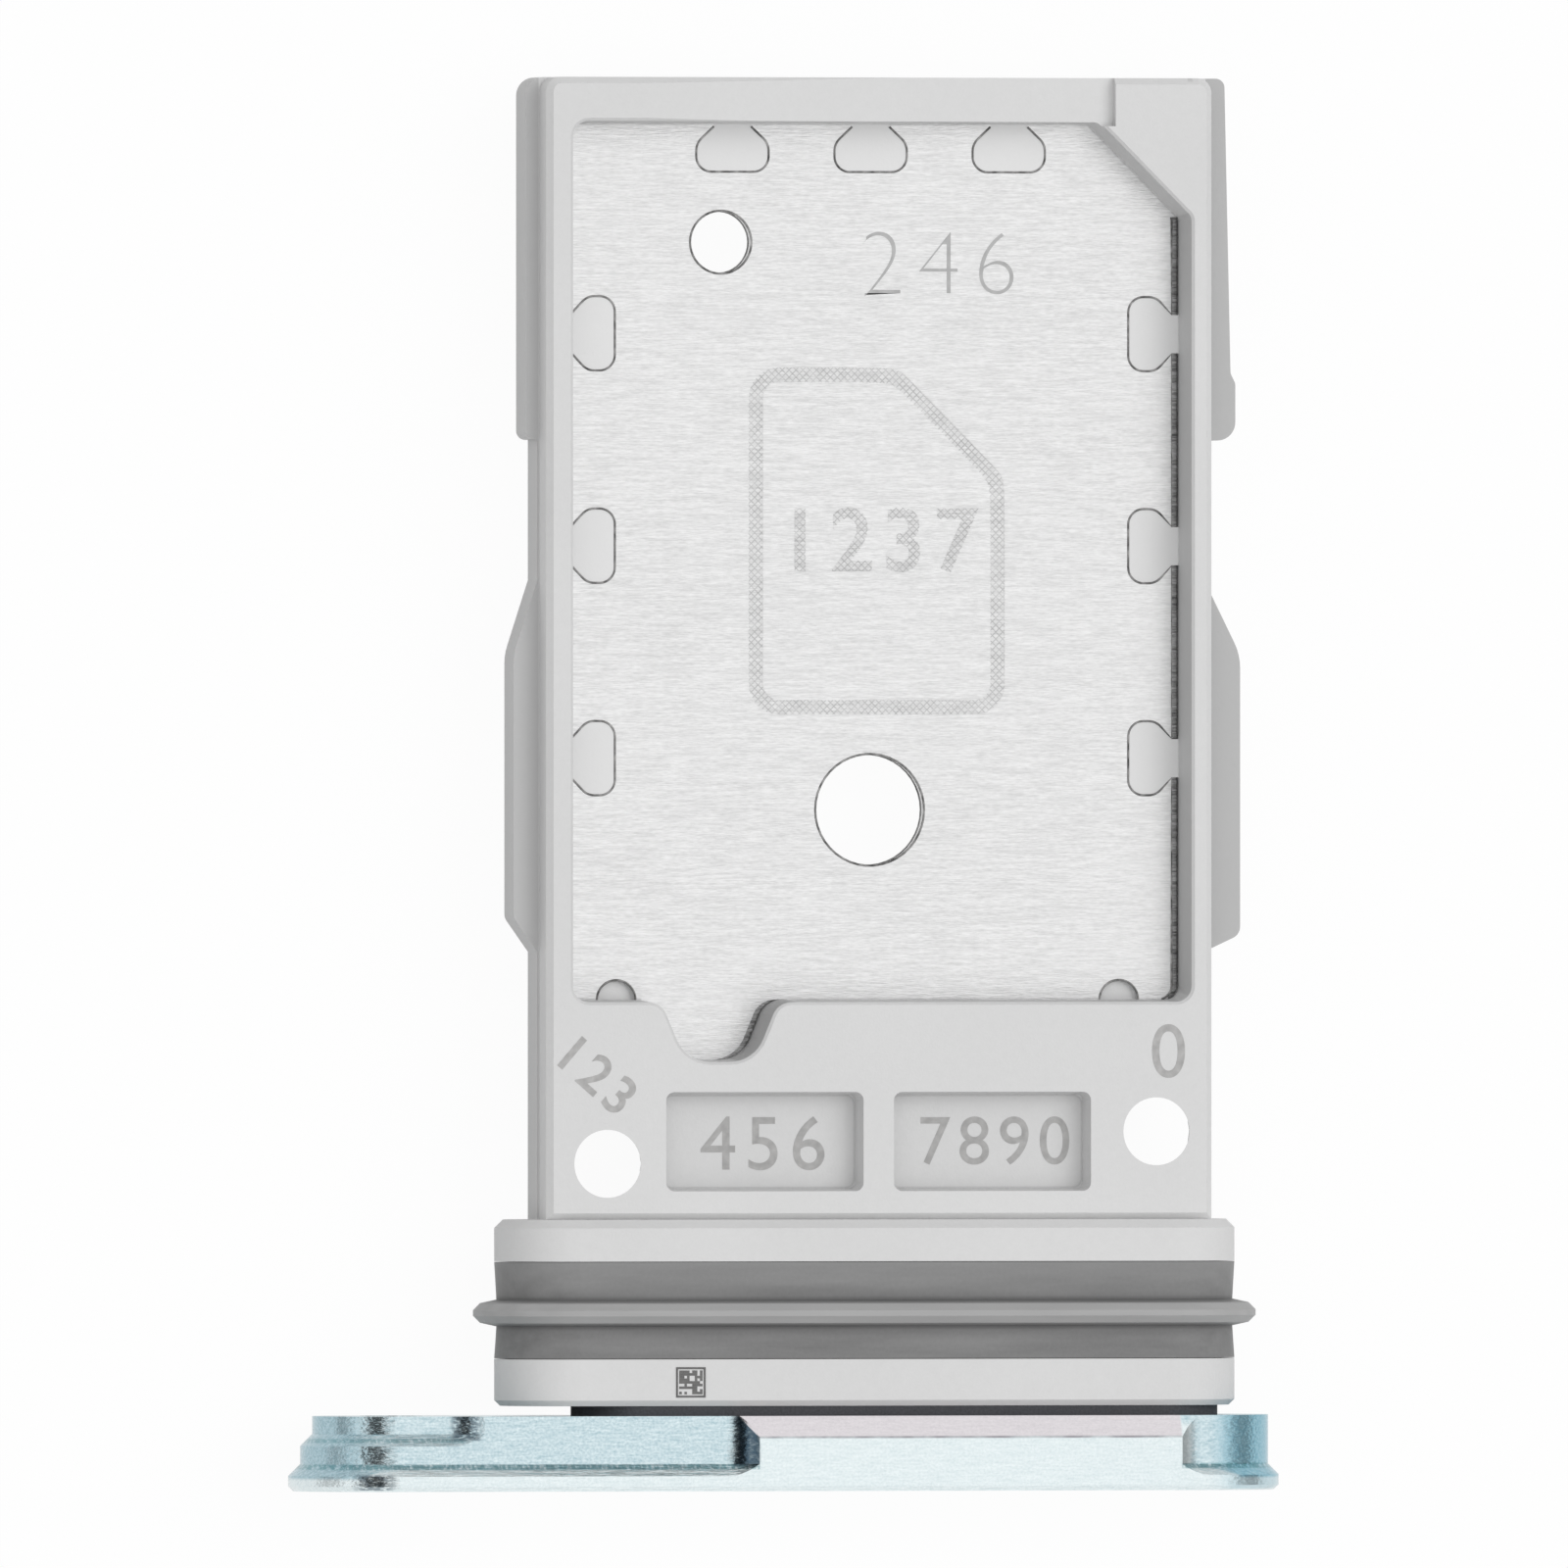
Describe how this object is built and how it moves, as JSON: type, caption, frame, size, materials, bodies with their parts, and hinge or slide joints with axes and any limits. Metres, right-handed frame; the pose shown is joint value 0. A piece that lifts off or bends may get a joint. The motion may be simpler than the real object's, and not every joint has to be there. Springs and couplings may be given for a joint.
{
  "type": "sim card tray",
  "caption": "Slim phone card tray: moulded frame round a notched steel plate, sealed collar and a stepped metal door with full round ends.",
  "frame": {"origin": "middle of the tray's outline, on the surface that the tray lies on", "axes": "+X along the door towards its end with one step, +Y from the door to the tip of the tray, +Z out of the face with the raised shoulder"},
  "size_m": [0.0142, 0.02, 0.0026],
  "materials": {
    "anodised_aluminium": "brushed, pale blue anodised",
    "black_pad": "matte foam",
    "grey_plastic": "fine matte moulded",
    "brushed_stainless": "brushed along its width",
    "grey_silicone": "smooth matte silicone"
  },
  "bodies": {
    "root": {"door": "anodised_aluminium", "door_pad": "black_pad", "carrier": "grey_plastic", "steel_plate": "brushed_stainless", "seal_ring": "grey_silicone"}
  },
  "joints": []
}
